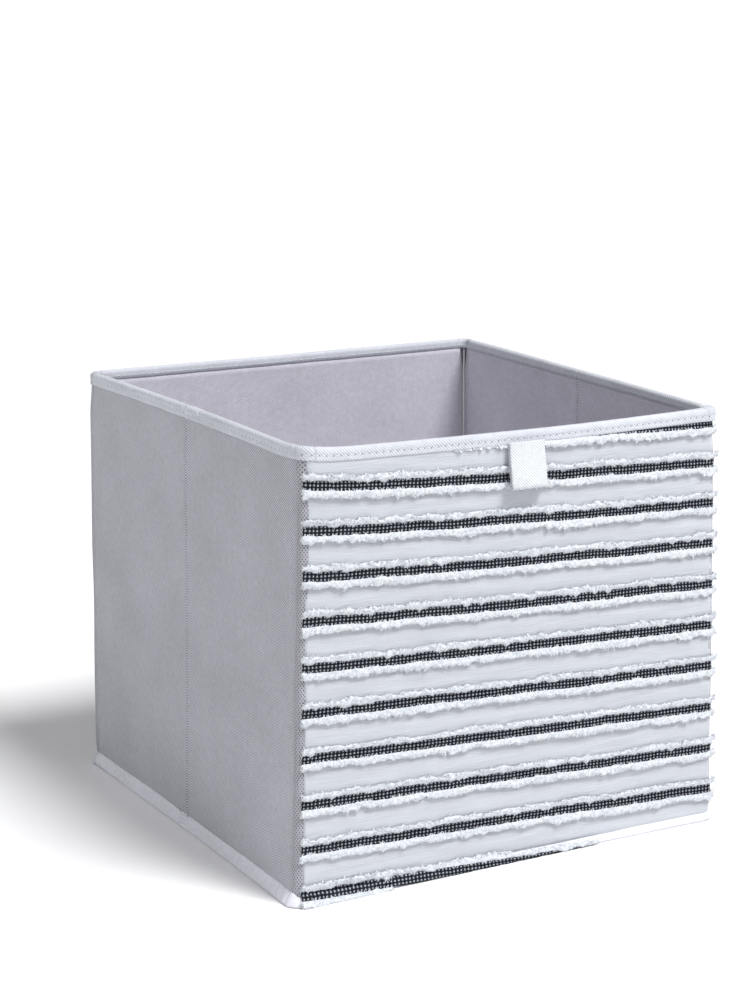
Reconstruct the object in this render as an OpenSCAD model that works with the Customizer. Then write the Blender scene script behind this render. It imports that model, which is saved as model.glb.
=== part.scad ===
// Folding fabric storage bin: chipboard walls in nonwoven cloth, a pale face with slanting check
// ribbons, a loose base insert and a pull tab. The side walls fold inwards at a middle crease.
// Millimetres. +Z is up, the front faces -Y, and the origin is the middle of the footprint on the floor.

/* [Bin] */
// Width of the bin, from side to side
bin_w = 305; // [200:1:420]
// Depth of the bin, from front to back
bin_d = 305; // [200:1:420]
// Height of the bin, from the floor to the top of the rim
bin_h = 278; // [180:1:400]
// Plan radius of the four upright edges
edge_r = 4; // [1.5:0.5:4.5]

/* [Cloth and board] */
// Thickness of the chipboard inside the walls
board_t = 1.8; // [1:0.1:3]
// Thickness of the outer nonwoven cloth and of the front face
outer_t = 0.8; // [0.6:0.1:1.2]
// Thickness of the lining
lining_t = 0.8; // [0.6:0.1:1.2]
// Thickness of the rim tape and of the hem tape
tape_t = 0.8; // [0.6:0.1:1.2]
// Thickness of the cloth under the bin
bottom_t = 0.8; // [0.5:0.1:1.5]
// Space between the end of a board and the seam beside it
board_seam = 1.2; // [0.5:0.1:3]

/* [Rim and hem] */
// Height of wall that the rim tape covers
rim_h = 8.5; // [7:0.5:16]
// Height of the hem tape round the bottom edge
hem_h = 9; // [7:0.5:16]
// Clearance over the hem under each wall that folds
hem_gap = 0.3; // [0.2:0.1:1]

/* [Side fold] */
// Distance from the crease to the end of each board
crease_board = 3.5; // [2:0.1:8]
// Half of the gap between the cloth of two half walls
crease_gap = 0.6; // [0.3:0.1:1]
// Distance from the crease to its row of stitches
crease_seam = 2; // [1.2:0.1:4]
// Clearance where a side wall meets the front or the back wall
corner_gap = 0.3; // [0.2:0.1:1]

/* [Corner strips] */
// Width of the cloth turned round each back edge
back_strip_w = 7; // [5:0.5:12]
// Width of the cloth turned round the front left edge
left_strip_w = 5.5; // [5:0.5:12]
// Width of the cloth turned round the front right edge
right_strip_w = 5; // [5:0.5:12]

/* [Front trim] */
// Height of one check ribbon
ribbon_h = 6.5; // [4:0.5:10]
// Thickness of a ribbon
ribbon_t = 0.4; // [0.3:0.1:0.6]
// Distance between the middles of two ribbons
ribbon_pitch = 27.8; // [22:0.1:40]
// Distance below the rim of the first ribbon's middle, at the left edge
ribbon_drop = 22; // [16:0.5:60]
// Slant of the ribbons, in degrees down towards the right
ribbon_slant = 2.6; // [0:0.1:6]
// Height of the frayed fringe above a ribbon
fringe_over = 4.5; // [2:0.5:6]
// Height of the frayed fringe below a ribbon
fringe_under = 5.5; // [2:0.5:7]
// Thickness of the fringe
fringe_t = 0.7; // [0.3:0.1:0.7]

/* [Pull tab] */
// Width of the pull tab
tab_w = 25.5; // [15:0.5:45]
// Length of the pull tab below the rim tape
tab_l = 25.5; // [18:0.5:50]
// Thickness of each of the tab's two layers
tab_t = 1.1; // [0.6:0.1:1.5]
// Distance of the tab's middle to the right of the bin's middle
tab_x = 2; // [-60:1:60]
// Clearance between the tab and what is round it
tab_gap = 0.3; // [0.2:0.1:1]

/* [Base insert] */
// Thickness of the chipboard in the insert
insert_board_t = 2.4; // [1.5:0.1:4]
// Thickness of the cloth round the insert
insert_cover_t = 0.6; // [0.4:0.1:1]
// Clearance between the insert and the walls
insert_gap = 1.5; // [0.5:0.1:5]
// Clearance under the insert
insert_lift = 0.2; // [0.1:0.1:1]

/* [Thread] */
// Width and depth of a row of stitches
thread_t = 0.4; // [0.2:0.1:0.5]
// Height of the rim's stitches above the lower edge of the rim tape
rim_seam = 2; // [1:0.1:4]

/* [Hidden] */
$fn = 48;
half_w = bin_w / 2;
half_d = bin_d / 2;
wall_t = 2 * tape_t + outer_t + board_t + lining_t;
outer_in = tape_t;
board_in = outer_in + outer_t;
lining_in = board_in + board_t;
inner_in = lining_in + lining_t;
wall_z = hem_h + hem_gap;
cloth_top = bin_h - tape_t;
rim_z = bin_h - rim_h;
half_wall_l = half_d - wall_t;
ribbon_count = ceil((bin_h - ribbon_drop) / ribbon_pitch);
ribbon_reach = bin_w / cos(ribbon_slant) + ribbon_pitch;
insert_t = insert_board_t + 2 * insert_cover_t;
insert_z = bottom_t + insert_lift;

SIDES = ["left", "right"];
ENDS = ["rear", "front"];
HALF_PARTS = ["board", "outer", "lining", "rim_tape", "rim_stitches"];

// Puts a piece drawn for the front wall on the back wall.
module at_back() {
    mirror([0, 1, 0]) children();
}

// Puts a piece drawn for the left rear half wall on any half wall.
module at_half(side, end) {
    mirror([side == "right" ? 1 : 0, 0, 0])
        mirror([0, end == "front" ? 1 : 0, 0]) children();
}

// Plan of the front wall, with its two outer edges rounded, drawn in from the tape's faces by inset.
module end_plan(inset) {
    r = edge_r - inset;
    intersection() {
        translate([inset - half_w, inset - half_d]) square([bin_w - 2 * inset, wall_t - 2 * inset]);
        union() {
            for (x = [edge_r - half_w, half_w - edge_r]) translate([x, edge_r - half_d]) circle(r);
            translate([edge_r - half_w, -half_d]) square([bin_w - 2 * edge_r, wall_t]);
            translate([-half_w, edge_r - half_d]) square([bin_w, wall_t]);
        }
    }
}

// A flat layer of the front wall between two depths from the tape's outer face.
module end_layer(depth, thick, x0, x1, z0, z1) {
    translate([x0, depth - half_d, z0]) cube([x1 - x0, thick, z1 - z0]);
}

// A flat layer of the left rear half wall, held off the crease and off the back wall.
module half_layer(depth, thick, off_crease, off_corner, z0, z1) {
    translate([depth - half_w, off_crease, z0])
        cube([thick, half_wall_l - off_crease - off_corner, z1 - z0]);
}

// Both threads of the rim's stitches on the front wall, let into the two faces of the tape.
module end_threads() {
    for (depth = [0, wall_t - thread_t])
        end_layer(depth, thread_t, edge_r + wall_t - half_w, half_w - edge_r - wall_t,
                  rim_z + rim_seam, rim_z + rim_seam + thread_t);
}

// Both threads of the rim's stitches on the left rear half wall.
module half_threads() {
    for (depth = [0, wall_t - thread_t])
        half_layer(depth, thread_t, crease_gap, corner_gap, rim_z + rim_seam, rim_z + rim_seam + thread_t);
}

module end_board(x0, x1) {
    color("burlywood") end_layer(board_in, board_t, x0 + board_seam, x1 - board_seam,
                                 wall_z + board_seam, cloth_top - board_seam);
}

module end_outer(x0, x1, tint) {
    color(tint) end_layer(outer_in, outer_t, x0, x1, wall_z, cloth_top);
}

module end_lining(x0, x1) {
    color("rosybrown") end_layer(lining_in, lining_t, x0, x1, wall_z, cloth_top);
}

// Rim tape over the top of the front wall, with grooves that its threads lie in.
module end_rim_tape() {
    color("whitesmoke") difference() {
        translate([0, 0, rim_z]) linear_extrude(rim_h) end_plan(0);
        translate([0, 0, rim_z - tape_t]) linear_extrude(rim_h) end_plan(tape_t);
        end_threads();
    }
}

module end_rim_stitches() {
    color("white") end_threads();
}

// Cloth turned round one upright edge of the front wall, with its seam allowance inside.
module edge_strip(x0, x1) {
    color("silver") translate([0, 0, wall_z]) linear_extrude(cloth_top - wall_z) intersection() {
        end_plan(tape_t);
        translate([x0, -half_d]) square([x1 - x0, wall_t]);
    }
}

module half_board() {
    color("burlywood") half_layer(board_in, board_t, crease_board, corner_gap + board_seam,
                                  wall_z + board_seam, cloth_top - board_seam);
}

module half_outer() {
    color("darkgray") half_layer(outer_in, outer_t, crease_gap, corner_gap, wall_z, cloth_top);
}

module half_lining() {
    color("rosybrown") half_layer(lining_in, lining_t, crease_gap, corner_gap, wall_z, cloth_top);
}

// Rim tape over the top of a half wall.
module half_rim_tape() {
    color("gainsboro") difference() {
        half_layer(0, wall_t, crease_gap, corner_gap, rim_z, bin_h);
        half_layer(tape_t, wall_t - 2 * tape_t, 0, 0, rim_z - tape_t, cloth_top);
        half_threads();
    }
}

module half_rim_stitches() {
    color("white") half_threads();
}

// Two rows of thread down the crease, one on the outer cloth and one on the lining.
module crease_stitches() {
    color("dimgray") for (depth = [outer_in - thread_t, inner_in])
        translate([depth - half_w, crease_seam, wall_z + board_seam])
            cube([thread_t, thread_t, rim_z - wall_z - 2 * board_seam]);
}

// Ring of tape folded round the bottom edge, with grooves for its outer thread.
module hem_ring(inset) {
    for (m = [0, 1]) mirror([0, m, 0]) end_plan(inset);
    for (x = [inset - half_w, half_w - wall_t + inset])
        translate([x, edge_r - half_d]) square([wall_t - 2 * inset, bin_d - 2 * edge_r]);
}

// Outer thread of the hem, along the four sides between the rounded edges.
module hem_threads() {
    run_w = bin_w - 2 * edge_r;
    run_d = bin_d - 2 * edge_r;
    for (m = [0, 1]) {
        mirror([0, m, 0]) translate([-run_w / 2, -half_d, hem_h - rim_seam])
            cube([run_w, thread_t, thread_t]);
        mirror([m, 0, 0]) translate([-half_w, -run_d / 2, hem_h - rim_seam])
            cube([thread_t, run_d, thread_t]);
    }
}

module hem_tape() {
    color("gainsboro") difference() {
        linear_extrude(hem_h) hem_ring(0);
        translate([0, 0, tape_t]) linear_extrude(hem_h) hem_ring(tape_t);
        hem_threads();
    }
}

// Seam allowance of the walls and of the bottom cloth, inside the hem tape.
module hem_core() {
    color("silver") translate([0, 0, tape_t]) linear_extrude(hem_h - tape_t) hem_ring(tape_t);
}

module hem_stitches() {
    color("white") hem_threads();
}

module bottom_cloth() {
    color("darkgray") translate([wall_t - half_w, wall_t - half_d, 0])
        cube([bin_w - 2 * wall_t, bin_d - 2 * wall_t, bottom_t]);
}

// Strips that run with the ribbons across the front face, each from low to high over its middle.
module slanted_strips(low, high, thick) {
    face_x0 = left_strip_w - half_w;
    face_x1 = half_w - right_strip_w;
    translate([0, outer_in - half_d, 0]) rotate([90, 0, 0]) linear_extrude(thick) intersection() {
        translate([face_x0, wall_z]) square([face_x1 - face_x0, rim_z - wall_z - tab_gap]);
        for (k = [-1 : ribbon_count])
            translate([-half_w, bin_h - ribbon_drop - k * ribbon_pitch])
                rotate(-ribbon_slant) translate([-ribbon_pitch / 2, low])
                    square([ribbon_reach, high - low]);
    }
}

module check_ribbons() {
    color("darkslategray") slanted_strips(-ribbon_h / 2, ribbon_h / 2, ribbon_t);
}

module ribbon_fringe() {
    color("white") {
        slanted_strips(ribbon_h / 2, ribbon_h / 2 + fringe_over, fringe_t);
        slanted_strips(-ribbon_h / 2 - fringe_under, -ribbon_h / 2, fringe_t);
    }
}

// Profile of the folded tab, seen along X: two layers joined by a round fold at the bottom.
module tab_profile() {
    circle(tab_t);
    translate([-tab_t, 0]) square([2 * tab_t, tab_l - tab_t]);
}

// Row of thread across the top of the tab, let into its outer face.
module tab_thread() {
    translate([tab_x - tab_w / 2, -half_d - tab_gap - 2 * tab_t, rim_z - tab_gap - rim_seam])
        cube([tab_w, thread_t, thread_t]);
}

module pull_tab() {
    color("whitesmoke") difference() {
        translate([tab_x - tab_w / 2, -half_d - tab_gap - tab_t, rim_z - tab_gap - tab_l + tab_t])
            rotate([90, 0, 90]) linear_extrude(tab_w) tab_profile();
        tab_thread();
    }
}

module tab_stitches() {
    color("white") tab_thread();
}

// A flat box with the insert's outline, drawn in on every face by inset.
module insert_box(inset) {
    edge = wall_t + insert_gap + inset;
    translate([edge - half_w, edge - half_d, insert_z + inset])
        cube([bin_w - 2 * edge, bin_d - 2 * edge, insert_t - 2 * inset]);
}

module insert_board() {
    color("burlywood") insert_box(insert_cover_t);
}

module insert_cover() {
    color("slategray") difference() {
        insert_box(0);
        insert_box(insert_cover_t);
    }
}

at_back() end_board(back_strip_w - half_w, half_w - back_strip_w);  // back_board
at_back() end_outer(back_strip_w - half_w, half_w - back_strip_w, "darkgray");  // back_outer
at_back() end_lining(back_strip_w - half_w, half_w - back_strip_w);  // back_lining
at_back() end_rim_tape();  // back_rim_tape
at_back() end_rim_stitches();  // back_rim_stitches
at_back() edge_strip(-half_w, back_strip_w - half_w);  // back_left_strip
at_back() edge_strip(half_w - back_strip_w, half_w);  // back_right_strip
hem_tape();
hem_core();
hem_stitches();
bottom_cloth();
end_board(left_strip_w - half_w, half_w - right_strip_w);  // front_board
end_outer(left_strip_w - half_w, half_w - right_strip_w, "aliceblue");  // front_face
end_lining(left_strip_w - half_w, half_w - right_strip_w);  // front_lining
end_rim_tape();  // front_rim_tape
end_rim_stitches();  // front_rim_stitches
edge_strip(-half_w, left_strip_w - half_w);  // front_left_strip
edge_strip(half_w - right_strip_w, half_w);  // front_right_strip
check_ribbons();
ribbon_fringe();
at_half("left", "rear") crease_stitches();  // left_crease_stitches
at_half("right", "rear") crease_stitches();  // right_crease_stitches
pull_tab();
tab_stitches();
insert_board();
insert_cover();
for (side = SIDES, end = ENDS) {
    name = str(side, "_", end, "_");
    at_half(side, end) half_board();
    at_half(side, end) half_outer();
    at_half(side, end) half_lining();
    at_half(side, end) half_rim_tape();
    at_half(side, end) half_rim_stitches();
}
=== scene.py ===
import math
import random

import bmesh
import bpy
from mathutils import Matrix, Vector, noise


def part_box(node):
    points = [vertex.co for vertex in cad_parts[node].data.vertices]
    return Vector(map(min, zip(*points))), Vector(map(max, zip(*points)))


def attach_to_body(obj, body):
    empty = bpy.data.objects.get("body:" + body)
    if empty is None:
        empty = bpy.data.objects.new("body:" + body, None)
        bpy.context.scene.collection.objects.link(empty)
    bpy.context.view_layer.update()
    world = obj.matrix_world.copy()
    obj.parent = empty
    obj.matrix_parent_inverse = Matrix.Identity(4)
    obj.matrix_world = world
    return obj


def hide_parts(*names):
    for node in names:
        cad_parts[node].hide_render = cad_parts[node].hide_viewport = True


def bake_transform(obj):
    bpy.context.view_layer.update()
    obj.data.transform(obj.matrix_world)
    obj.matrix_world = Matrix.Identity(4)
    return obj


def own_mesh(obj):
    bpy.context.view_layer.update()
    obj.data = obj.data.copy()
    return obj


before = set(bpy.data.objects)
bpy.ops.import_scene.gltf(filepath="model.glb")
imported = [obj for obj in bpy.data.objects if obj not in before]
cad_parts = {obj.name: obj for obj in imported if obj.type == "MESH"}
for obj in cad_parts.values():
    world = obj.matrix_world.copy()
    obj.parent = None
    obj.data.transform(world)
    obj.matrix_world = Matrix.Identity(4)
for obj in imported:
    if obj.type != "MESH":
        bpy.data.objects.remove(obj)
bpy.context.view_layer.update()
print("frame loaded:", len(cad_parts), "nodes")

mm = 0.001
rightAngle = math.pi / 2

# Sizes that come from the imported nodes.
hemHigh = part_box("hem_tape")[1]
rimLow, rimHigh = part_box("back_rim_tape")
halfLow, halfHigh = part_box("left_rear_rim_tape")
clothLow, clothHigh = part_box("left_rear_outer")
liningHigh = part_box("left_rear_lining")[1]
creaseLow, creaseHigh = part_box("left_crease_stitches")
tabLow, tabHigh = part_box("pull_tab")
insertLow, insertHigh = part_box("insert_cover")
bottomLow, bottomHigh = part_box("bottom_cloth")

halfWidth = hemHigh.x
halfDepth = hemHigh.y
binTop = rimHigh.z
rimEdge = rimLow.z
hemTop = hemHigh.z
wallThick = halfHigh.x - halfLow.x
clothInset = clothLow.x - halfLow.x
clothThick = clothHigh.x - clothLow.x
liningInset = liningHigh.x - halfLow.x
creaseSeam = (creaseLow.y + creaseHigh.y) / 2


def bump(x, middle, width):
    return math.exp(-((x - middle) / width) ** 2)


def ease(x, low, high):
    t = min(1.0, max(0.0, (x - low) / (high - low)))
    return t * t * (3 - 2 * t)


def lumps(x, y, seed, detail=1):
    return noise.fractal(Vector((x, y, seed)), 0.6, 2.1, detail)


def finishMesh(bm, name, shade=True):
    mesh = bpy.data.meshes.new(name)
    bm.to_mesh(mesh)
    bm.free()
    piece = bpy.data.objects.new(name, mesh)
    bpy.context.scene.collection.objects.link(piece)
    for polygon in mesh.polygons:
        polygon.use_smooth = shade
    return piece


def clothGrid(name, counts, place, u, v, faceIn=False, thick=0.0, squeeze=None):
    # A sheet laid out on u by v metres; place(u, v) puts each point in the frame.
    bm = bmesh.new()
    cut = bm.loops.layers.uv.new("cut")
    bmesh.ops.create_grid(bm, x_segments=counts[0], y_segments=counts[1], size=1)
    flat = {}
    for point in bm.verts:
        across = squeeze(point.co.x) if squeeze else point.co.x
        flat[point] = (u[0] + (u[1] - u[0]) * (across + 1) / 2,
                       v[0] + (v[1] - v[0]) * (point.co.y + 1) / 2)
    for face in bm.faces:
        for corner in face.loops:
            corner[cut].uv = flat[corner.vert]
    for point, (a, b) in flat.items():
        point.co = place(a, b)
    if faceIn:
        bmesh.ops.reverse_faces(bm, faces=bm.faces)
    piece = finishMesh(bm, name)
    if thick:
        shell = piece.modifiers.new("thickness", "SOLIDIFY")
        shell.thickness = thick
        shell.offset = -1
    return piece


def stitches(name, spots, length, thick):
    # Each spot is (place, direction along the row, direction away from the cloth).
    bm = bmesh.new()
    for place, along, away in spots:
        turn = Matrix((along.cross(away), away, along)).transposed().to_4x4()
        bmesh.ops.create_cone(bm, cap_ends=True, segments=6, radius1=thick * 0.5, radius2=thick * 0.5,
                              depth=length, matrix=Matrix.Translation(place) @ turn)
    return finishMesh(bm, name)


# How far the soft bin has settled away from its box, in mm: x, y and z at each corner.
settle = {
    ("low", -1, 1): (-1.5, 1.5, 0.0),
    ("low", 1, 1): (0.2, -0.1, 0.0),
    ("low", 1, -1): (2.8, -1.6, 0.0),
    ("low", -1, -1): (-2.4, 0.4, 0.0),
    ("top", -1, 1): (0.8, 0.3, 0.7),
    ("top", 1, 1): (-0.9, 0.4, -0.2),
    ("top", 1, -1): (-2.9, 0.3, -2.1),
    ("top", -1, -1): (3.9, -1.1, 1.1),
}
# How far the middle of each side is drawn in, at the hem and at the rim, and how far its rim sags.
drawnIn = {
    "left": (1.5, 0.6, -1.4),
    "front": (1.8, -2.4, 1.2),
    "right": (0.0, -2.1, 0.3),
    "back": (0.0, 0.2, 0.1),
}


# The rim tape stands up where it bunches round the front left corner.
bunched = {"lift": 2.0 * mm, "reach": 17 * mm}


def settled(spot):
    u, w, t = spot.x / halfWidth, spot.y / halfDepth, spot.z / binTop
    moved = Vector(spot)
    for (level, a, b), shift in settle.items():
        share = (1 + a * u) / 2 * (1 + b * w) / 2 * (t if level == "top" else 1 - t)
        moved += Vector(shift) * share * mm
    shares = {"left": (1 - w * w) * (1 - u) / 2, "right": (1 - w * w) * (1 + u) / 2,
              "front": (1 - u * u) * (1 - w) / 2, "back": (1 - u * u) * (1 + w) / 2}
    ways = {"left": (1, 0), "right": (-1, 0), "front": (0, 1), "back": (0, -1)}
    for side, (low, top, sag) in drawnIn.items():
        reach = shares[side] * ((1 - t) * low + t * top) * mm
        moved.x += ways[side][0] * reach
        moved.y += ways[side][1] * reach
        moved.z -= shares[side] * t * sag * mm
    away = math.hypot(spot.x + halfWidth, spot.y + halfDepth)
    moved.z += bunched["lift"] * bump(away, 0, bunched["reach"]) * t ** 6
    return moved


# The bin's outline seen from above, walked anticlockwise from the back's right end.
sections = ["back", "back_left", "left", "front_left", "front", "front_right", "right", "back_right"]
riders = {
    "back": ["back_wall"],
    "back_left": ["back_wall", "left_rear"],
    "left": ["left_rear", "left_front"],
    "front_left": ["left_front", "front_wall"],
    "front": ["front_wall"],
    "front_right": ["front_wall"],
    "right": ["right_front", "right_rear"],
    "back_right": ["right_rear", "back_wall"],
}
rimNodes = {
    "back": ["back_rim_tape"],
    "back_left": ["back_rim_tape"],
    "left": ["left_rear_rim_tape", "left_front_rim_tape"],
    "front_left": ["front_rim_tape"],
    "front": ["front_rim_tape"],
    "front_right": ["front_rim_tape"],
    "right": ["right_rear_rim_tape", "right_front_rim_tape"],
    "back_right": ["back_rim_tape"],
}
threadNodes = {
    "back": ["back_rim_stitches"],
    "left": ["left_rear_rim_stitches", "left_front_rim_stitches"],
    "front": ["front_rim_stitches"],
    "right": ["right_rear_rim_stitches", "right_front_rim_stitches"],
}
cornerLook = {"wall": 5 * mm, "rim": 8.5 * mm, "hem": 7.5 * mm, "length": 7 * mm}
creaseZone = 3 * mm


def cornerRadius(z):
    atRim = ease(z, rimEdge - 22 * mm, rimEdge + 2 * mm)
    atHem = 1 - ease(z, 1 * mm, hemTop + 6 * mm)
    return (cornerLook["wall"] + (cornerLook["rim"] - cornerLook["wall"]) * atRim
            + (cornerLook["hem"] - cornerLook["wall"]) * atHem)


sideLength = 2 * halfWidth - 2 * cornerLook["length"]
arcLength = cornerLook["length"] * rightAngle
spans = {}
for name in sections:
    begin = list(spans.values())[-1][1] if spans else 0.0
    spans[name] = (begin, begin + (arcLength if "_" in name else sideLength))


def crease(name):
    return sum(spans[name]) / 2


def facing(name, s):
    index = sections.index(name)
    angle = rightAngle * (index // 2 + 1)
    if index % 2:
        low, high = spans[name]
        angle += rightAngle * min(1.0, max(0.0, (s - low) / (high - low)))
    out = Vector((math.cos(angle), math.sin(angle), 0))
    return out, Vector((-out.y, out.x, 0))


def boxAt(name, s, inset, z):
    # a place on the outline of the box, before it settles
    index = sections.index(name)
    low, high = spans[name]
    share = (s - low) / (high - low)
    radius = cornerRadius(z)
    out, along = facing(name, s)
    if index % 2:
        corner = [(-1, 1), (-1, -1), (1, -1), (1, 1)][index // 2]
        centre = Vector((corner[0] * (halfWidth - radius), corner[1] * (halfDepth - radius), 0))
        spare = s - min(max(s, low), high)
        spot = centre + out * (radius - inset) + along * spare
    else:
        spot = out * (halfWidth - inset) + along * (halfWidth - radius) * (2 * share - 1)
    return Vector((spot.x, spot.y, z))


def at(name, s, inset, z):
    return settled(boxAt(name, s, inset, z))


def attach(piece, name):
    # Rides on the section's body; a piece over two bodies keeps its place in the frame, with its transform
    # baked.
    bodies = riders[name]
    if len(bodies) == 1:
        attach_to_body(piece, bodies[0])
        return
    low, high = spans[name]
    if name in ("left", "right"):
        low, high = crease(name) - creaseZone, crease(name) + creaseZone
    tuple(boxAt(name, low, 0, rimEdge))
    tuple(boxAt(name, high, 0, rimEdge))
    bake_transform(piece)


def seamSide(name):
    # The crease's stitches are on its rear side: before the crease on the left, after it on the right.
    return -creaseSeam if name == "left" else creaseSeam


def squeezeToCrease(p):
    return 0.15 * p + 0.85 * p ** 3


def newGroup(name, inputs, outputs):
    group = bpy.data.node_groups.new(name, "ShaderNodeTree")
    for label, kind, value in inputs:
        socket = group.interface.new_socket(name=label, in_out="INPUT", socket_type=kind)
        if value is not None:
            socket.default_value = value
    for label, kind in outputs:
        group.interface.new_socket(name=label, in_out="OUTPUT", socket_type=kind)
    return group, group.nodes.new("NodeGroupInput"), group.nodes.new("NodeGroupOutput")


class Wires:
    # Short forms for building node trees.
    def __init__(self, tree):
        self.tree = tree

    def node(self, kind, **values):
        made = self.tree.nodes.new(kind)
        for key, value in values.items():
            setattr(made, key, value)
        return made

    def link(self, a, b):
        self.tree.links.new(a, b)

    def math(self, operation, a, b=None, c=None, clamp=False):
        made = self.node("ShaderNodeMath", operation=operation, use_clamp=clamp)
        for socket, value in zip(made.inputs, (a, b, c)):
            if value is None:
                continue
            if isinstance(value, (int, float)):
                socket.default_value = value
            else:
                self.link(value, socket)
        return made.outputs[0]

    def mix(self, factor, a, b, blend="MIX"):
        made = self.node("ShaderNodeMix", data_type="RGBA", blend_type=blend)
        for index, value in ((0, factor), (6, a), (7, b)):
            socket = made.inputs[index]
            if isinstance(value, (int, float)):
                socket.default_value = value
            elif isinstance(value, tuple):
                socket.default_value = value
            else:
                self.link(value, socket)
        return made.outputs[2]

    def noise(self, vector, scale, detail=2.0, rough=0.5):
        made = self.node("ShaderNodeTexNoise")
        made.inputs["Scale"].default_value = scale
        made.inputs["Detail"].default_value = detail
        made.inputs["Roughness"].default_value = rough
        self.link(vector, made.inputs["Vector"])
        return made.outputs["Fac"]

    def span(self, value, low, high, toLow=0.0, toHigh=1.0):
        made = self.node("ShaderNodeMapRange")
        self.link(value, made.inputs["Value"])
        for label, number in (("From Min", low), ("From Max", high), ("To Min", toLow), ("To Max", toHigh)):
            made.inputs[label].default_value = number
        return made.outputs["Result"]


def makeEmbossGroup():
    # Bonded nonwoven: a lattice of pressed dots on two diagonals, one stronger than the other; PitShade is
    # painted shade for the pressed pits.
    group, feed, out = newGroup(
        "PressedLattice",
        [("Vector", "NodeSocketVector", None), ("Pitch", "NodeSocketFloat", 0.0017),
         ("Across", "NodeSocketFloat", 1.0), ("Second", "NodeSocketFloat", 0.5)],
        [("Height", "NodeSocketFloat"), ("PitShade", "NodeSocketFloat")])
    w = Wires(group)
    wander = w.node("ShaderNodeTexNoise")
    wander.inputs["Scale"].default_value = 60
    w.link(feed.outputs["Vector"], wander.inputs["Vector"])
    drift = w.math("MULTIPLY_ADD", wander.outputs["Fac"], 0.0012, -0.0006)
    parts = w.node("ShaderNodeSeparateXYZ")
    w.link(feed.outputs["Vector"], parts.inputs[0])
    x = w.math("MULTIPLY", parts.outputs[0], feed.outputs["Across"])
    y = w.math("ADD", parts.outputs[1], drift)
    turn = w.math("DIVIDE", 2 * math.pi, feed.outputs["Pitch"])
    down = w.math("SINE", w.math("MULTIPLY", w.math("ADD", x, y), turn))
    up = w.math("SINE", w.math("MULTIPLY", w.math("SUBTRACT", x, y), turn))
    first = w.math("MULTIPLY_ADD", down, 0.5, 0.5)
    second = w.math("MULTIPLY", w.math("MULTIPLY_ADD", up, 0.5, 0.5), feed.outputs["Second"])
    height = w.math("MAXIMUM", first, second)
    # painted shade: strongest where the lattice is lowest
    pitShade = w.math("POWER", w.math("SUBTRACT", 1.0, height, clamp=True), 1.6)
    w.link(height, out.inputs["Height"])
    w.link(pitShade, out.inputs["PitShade"])
    return group


def makeFibreGroup():
    # Uneven laydown of the fibres: broad clouds, small mottling and fine hairs.
    group, feed, out = newGroup(
        "FibreLay",
        [("Vector", "NodeSocketVector", None)],
        [("Clouds", "NodeSocketFloat"), ("Mottle", "NodeSocketFloat"), ("Hairs", "NodeSocketFloat")])
    w = Wires(group)
    clouds = w.noise(feed.outputs["Vector"], 22, 3, 0.6)
    mottle = w.noise(feed.outputs["Vector"], 260, 3, 0.65)
    stretch = w.node("ShaderNodeMapping")
    stretch.inputs["Scale"].default_value = (1, 5, 1)
    stretch.inputs["Rotation"].default_value = (0, 0, 0.5)
    w.link(feed.outputs["Vector"], stretch.inputs["Vector"])
    hairs = w.noise(stretch.outputs["Vector"], 900, 2, 0.6)
    w.link(w.span(clouds, 0.3, 0.7), out.inputs["Clouds"])
    w.link(w.span(mottle, 0.3, 0.7), out.inputs["Mottle"])
    w.link(w.span(hairs, 0.3, 0.7), out.inputs["Hairs"])
    return group


def makeWeaveGroup():
    # Plain weave: rounded threads that pass over and under, with uneven slubs.
    group, feed, out = newGroup(
        "PlainWeave",
        [("Vector", "NodeSocketVector", None), ("Pitch", "NodeSocketFloat", 0.0006)],
        [("Height", "NodeSocketFloat"), ("Slubs", "NodeSocketFloat")])
    w = Wires(group)
    parts = w.node("ShaderNodeSeparateXYZ")
    w.link(feed.outputs["Vector"], parts.inputs[0])
    turn = w.math("DIVIDE", math.pi, feed.outputs["Pitch"])
    a = w.math("MULTIPLY", parts.outputs[0], turn)
    b = w.math("MULTIPLY", parts.outputs[1], turn)
    warp = w.math("ABSOLUTE", w.math("SINE", a))
    weft = w.math("ABSOLUTE", w.math("SINE", b))
    over = w.math("GREATER_THAN", w.math("MULTIPLY", w.math("COSINE", a), w.math("COSINE", b)), 0.0)
    height = w.math("ADD", w.math("MULTIPLY", warp, over),
                    w.math("MULTIPLY", weft, w.math("SUBTRACT", 1.0, over)))
    stretch = w.node("ShaderNodeMapping")
    stretch.inputs["Scale"].default_value = (60, 900, 1)
    w.link(feed.outputs["Vector"], stretch.inputs["Vector"])
    slubs = w.noise(stretch.outputs["Vector"], 1, 3, 0.6)
    w.link(height, out.inputs["Height"])
    w.link(w.span(slubs, 0.35, 0.7), out.inputs["Slubs"])
    return group


def makeNeedleGroup():
    # Needle holes along a row: dark ovals of painted shade at every pitch, at one distance across the tape.
    group, feed, out = newGroup(
        "NeedleHoles",
        [("Vector", "NodeSocketVector", None), ("Pitch", "NodeSocketFloat", 0.006),
         ("Row", "NodeSocketFloat", 0.003), ("Size", "NodeSocketFloat", 0.0006)],
        [("Holes", "NodeSocketFloat")])
    w = Wires(group)
    parts = w.node("ShaderNodeSeparateXYZ")
    w.link(feed.outputs["Vector"], parts.inputs[0])
    cell = w.math("DIVIDE", parts.outputs[0], feed.outputs["Pitch"])
    near = w.math("SUBTRACT", w.math("FRACT", cell), 0.5)
    dx = w.math("DIVIDE", w.math("MULTIPLY", near, feed.outputs["Pitch"]), feed.outputs["Size"])
    dy = w.math("DIVIDE", w.math("SUBTRACT", parts.outputs[1], feed.outputs["Row"]), feed.outputs["Size"])
    reach = w.math("SQRT", w.math("ADD", w.math("MULTIPLY", dx, dx), w.math("MULTIPLY", dy, dy)))
    w.link(w.span(reach, 0.7, 1.4, 1.0, 0.0), out.inputs["Holes"])
    return group


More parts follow.
